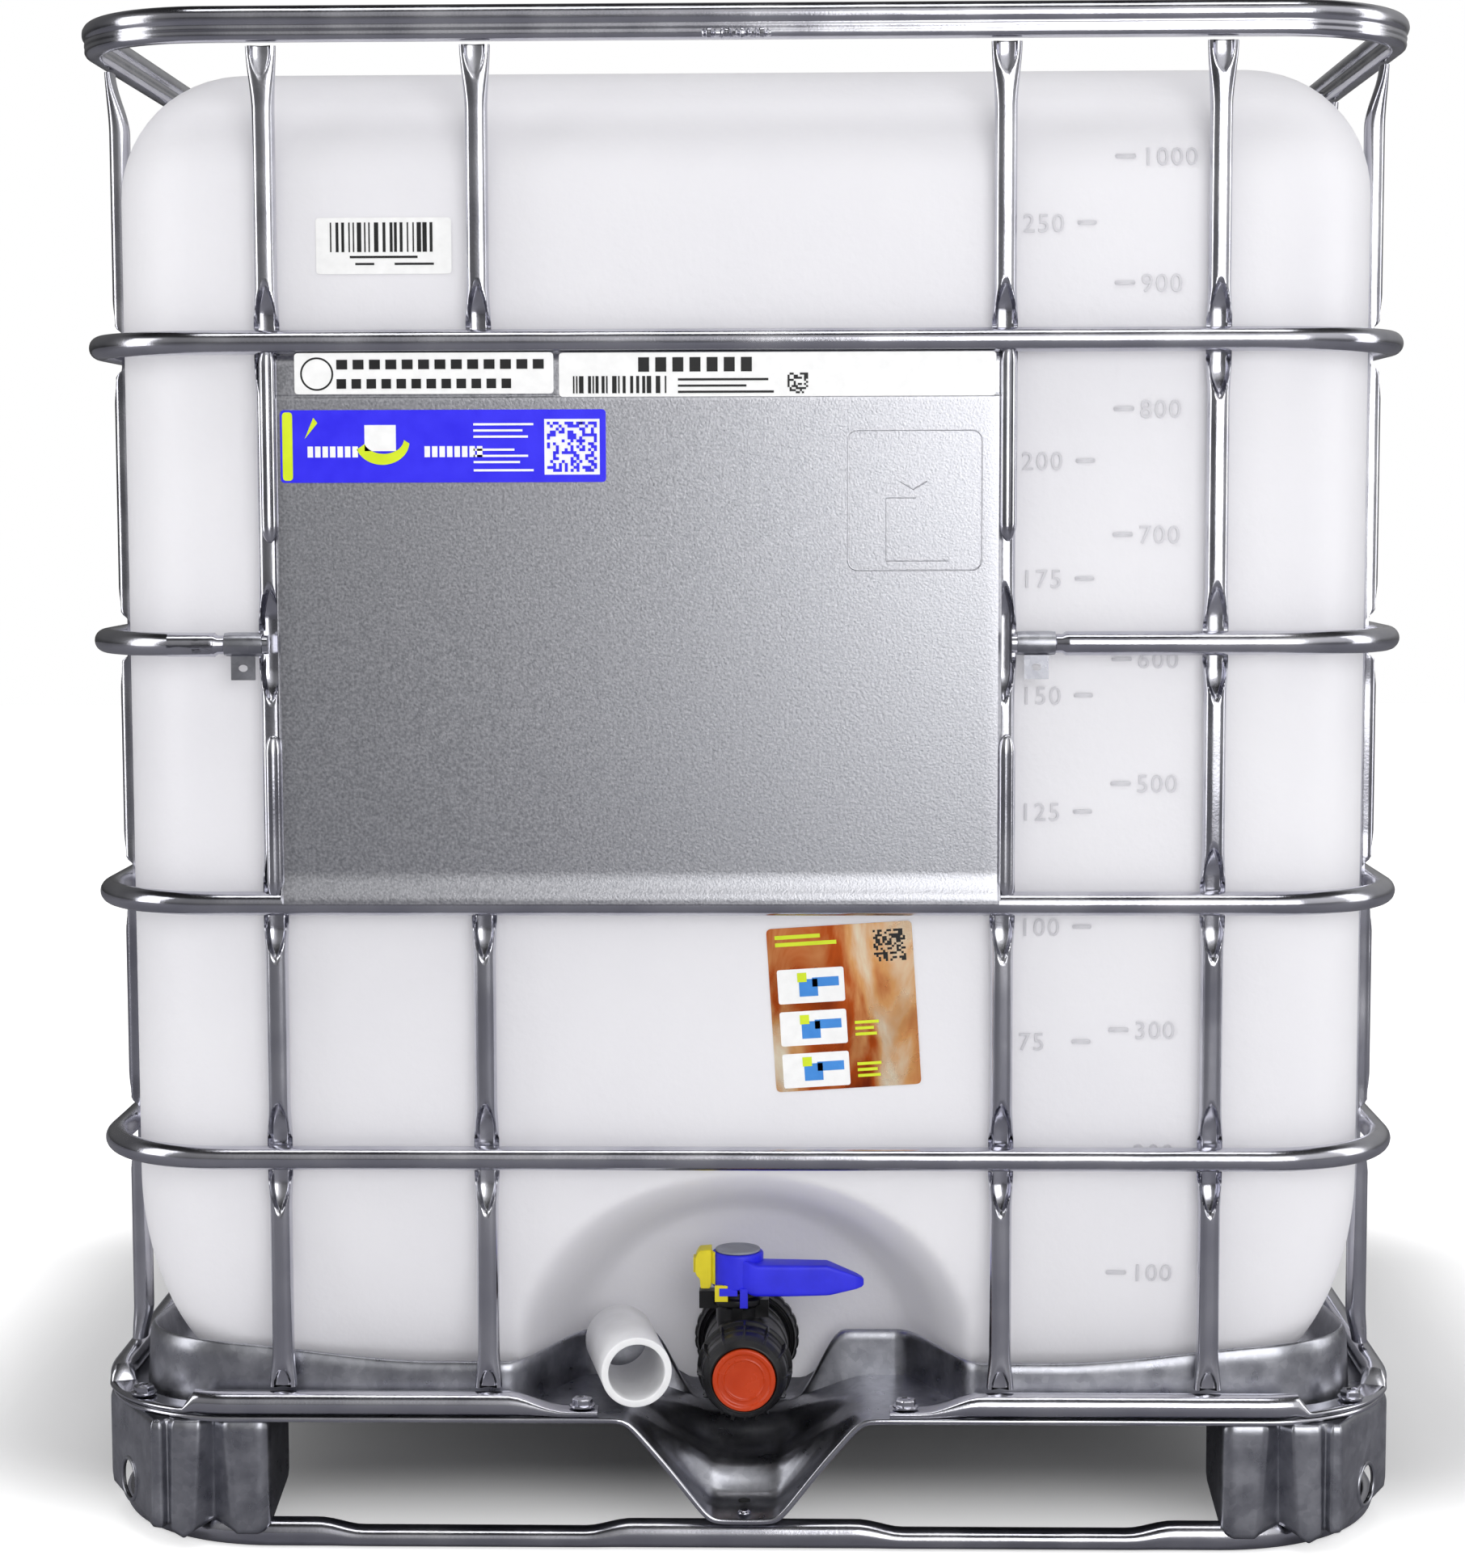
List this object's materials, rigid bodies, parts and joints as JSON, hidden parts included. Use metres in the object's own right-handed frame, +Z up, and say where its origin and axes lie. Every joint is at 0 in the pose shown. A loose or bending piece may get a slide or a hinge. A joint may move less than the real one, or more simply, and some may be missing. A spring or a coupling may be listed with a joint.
{
  "type": "intermediate bulk container",
  "caption": "Bulk liquid container: a plastic bottle with a bottom outlet valve in a tube cage on a pressed steel pallet.",
  "frame": {"origin": "centre of the pallet's footprint, on the surface it stands on", "axes": "+X to the right seen from the valve side, +Y from the valve side to the rear, +Z up"},
  "size_m": [1, 1.2, 1.151],
  "materials": {
    "galvanised_tube": "satin galvanised",
    "pressed_sheet": "satin galvanised",
    "label_sheet": "matt galvanised",
    "natural_polyethylene": "satin translucent",
    "black_plastic": "satin",
    "blue_plastic": "satin",
    "yellow_plastic": "satin",
    "orange_plastic": "satin",
    "grey_plastic": "satin",
    "white_plastic": "satin",
    "red_plastic": "satin",
    "gasket_rubber": "matt"
  },
  "bodies": {
    "frame": {"base_ring_tube": "galvanised_tube", "bottle": "natural_polyethylene", "bottle_mouth": "natural_polyethylene", "bottle_neck": "natural_polyethylene", "bottle_outlet": "natural_polyethylene", "cage_bottom_rail": "galvanised_tube", "cage_ring_2": "galvanised_tube", "cage_ring_3": "galvanised_tube", "cage_ring_4": "galvanised_tube", "cage_ring_5": "galvanised_tube", "cross_bar_front": "galvanised_tube", "cross_bar_rear": "galvanised_tube", "deck_pan": "pressed_sheet", "foot_front_left": "pressed_sheet", "foot_front_right": "pressed_sheet", "foot_middle_left": "pressed_sheet", "foot_middle_rear": "pressed_sheet", "foot_middle_right": "pressed_sheet", "foot_rear_left": "pressed_sheet", "foot_rear_right": "pressed_sheet", "label_plate": "label_sheet", "plate_clamp_left": "pressed_sheet", "plate_clamp_right": "pressed_sheet", "rail_bolt_1": "galvanised_tube", "rail_bolt_2": "galvanised_tube", "rail_bolt_3": "galvanised_tube", "rail_bolt_4": "galvanised_tube", "rail_bolt_5": "galvanised_tube", "rail_bolt_6": "galvanised_tube", "top_ring": "galvanised_tube", "upright_front_1": "galvanised_tube", "upright_front_2": "galvanised_tube", "upright_front_3": "galvanised_tube", "upright_front_4": "galvanised_tube", "upright_left_1": "galvanised_tube", "upright_left_2": "galvanised_tube", "upright_left_3": "galvanised_tube", "upright_left_4": "galvanised_tube", "upright_left_5": "galvanised_tube", "upright_rear_1": "galvanised_tube", "upright_rear_2": "galvanised_tube", "upright_rear_3": "galvanised_tube", "upright_rear_4": "galvanised_tube", "upright_right_1": "galvanised_tube", "upright_right_2": "galvanised_tube", "upright_right_3": "galvanised_tube", "upright_right_4": "galvanised_tube", "upright_right_5": "galvanised_tube", "valve_body": "black_plastic", "valve_union_ring": "black_plastic"},
    "valve_handle": {"valve_handle": "blue_plastic", "valve_disc": "grey_plastic"},
    "safety_lock": {"safety_lock": "yellow_plastic"},
    "outlet_seal": {"outlet_cap": "orange_plastic"},
    "outlet_nut": {"outlet_nut": "black_plastic"},
    "lid_seal": {"lid_gasket": "gasket_rubber"},
    "lid": {"lid": "black_plastic", "lid_skirt": "black_plastic"},
    "vent_plug": {"vent_plug": "red_plastic"},
    "loose_tube": {"loose_tube": "white_plastic"}
  },
  "joints": [
    {"name": "handle_turn", "type": "hinge", "parent": "frame", "child": "valve_handle", "pos_m": [-0.006, -0.507, 0.1835], "axis": [0, 0, 1], "range_deg": [-90, 0]},
    {"name": "lock_lift", "type": "slide", "parent": "valve_handle", "child": "safety_lock", "axis": [0, 0, 1], "range_m": [0, 0.008]},
    {"name": "outlet_pull", "type": "slide", "parent": "frame", "child": "outlet_seal", "axis": [0, -1, 0], "range_m": [0, 0.08]},
    {"name": "outlet_nut_turn", "type": "hinge", "parent": "outlet_seal", "child": "outlet_nut", "pos_m": [0, -0.56, 0.128], "axis": [0, -1, 0], "continuous": true},
    {"name": "lid_lift", "type": "slide", "parent": "frame", "child": "lid_seal", "axis": [0, 0, 1], "range_m": [0, 0.2]},
    {"name": "lid_turn", "type": "hinge", "parent": "lid_seal", "child": "lid", "pos_m": [0, 0, 1.13], "axis": [0, 0, 1], "continuous": true},
    {"name": "vent_plug_lift", "type": "slide", "parent": "lid", "child": "vent_plug", "axis": [0, 0, 1], "range_m": [0, 0.05]},
    {"name": "loose_tube_slide", "type": "slide", "parent": "frame", "child": "loose_tube", "axis": [0.1908, -0.9816, 0], "range_m": [0, 0.15]}
  ]
}
